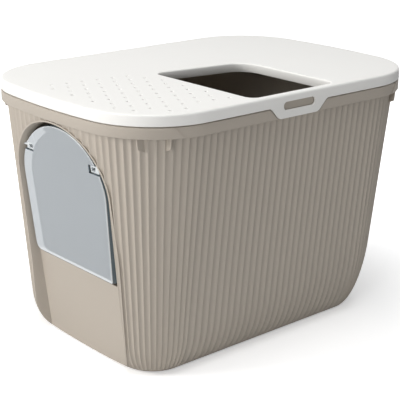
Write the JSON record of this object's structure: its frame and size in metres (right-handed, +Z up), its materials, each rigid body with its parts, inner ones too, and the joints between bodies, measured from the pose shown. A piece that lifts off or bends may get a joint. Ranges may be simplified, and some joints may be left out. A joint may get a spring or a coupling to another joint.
{
  "type": "top entry litter box",
  "caption": "Tapered fluted litter tub with a perforated lift-off lid that has a top entry, side latch tabs, and an arched swing flap at one end.",
  "frame": {"origin": "middle of the bounding box, at the level that the tub stands on", "axes": "+X along the length, away from the door end; -Y is the long side nearest the entry; +Z up"},
  "size_m": [0.585, 0.408, 0.398],
  "materials": {
    "tub": "satin taupe moulded plastic",
    "lid": "satin ivory moulded plastic",
    "flap": "translucent smoky plastic",
    "clip": "frosty clear plastic"
  },
  "bodies": {
    "tub": {"tub": "tub"},
    "lid": {"lid": "lid"},
    "front_latch": {"latch_tab_front": "lid"},
    "rear_latch": {"latch_tab_rear": "lid"},
    "door": {"door_flap": "flap", "hinge_clip_left": "clip", "hinge_clip_right": "clip"}
  },
  "joints": [
    {"name": "lid_lift", "type": "slide", "parent": "tub", "child": "lid", "axis": [0, 0, 1], "range_m": [0, 0.15]},
    {"name": "front_latch_flex", "type": "hinge", "parent": "lid", "child": "front_latch", "pos_m": [0, -0.2027, 0.39], "axis": [-1, 0, 0], "range_deg": [0, 12], "stiffness_Nm_per_rad": 1},
    {"name": "rear_latch_flex", "type": "hinge", "parent": "lid", "child": "rear_latch", "pos_m": [0, 0.2027, 0.39], "axis": [1, 0, 0], "range_deg": [0, 12], "stiffness_Nm_per_rad": 1},
    {"name": "door_swing", "type": "hinge", "parent": "tub", "child": "door", "pos_m": [-0.26555, 0, 0.3065], "axis": [0, 1, 0], "range_deg": [-75, 75]}
  ]
}
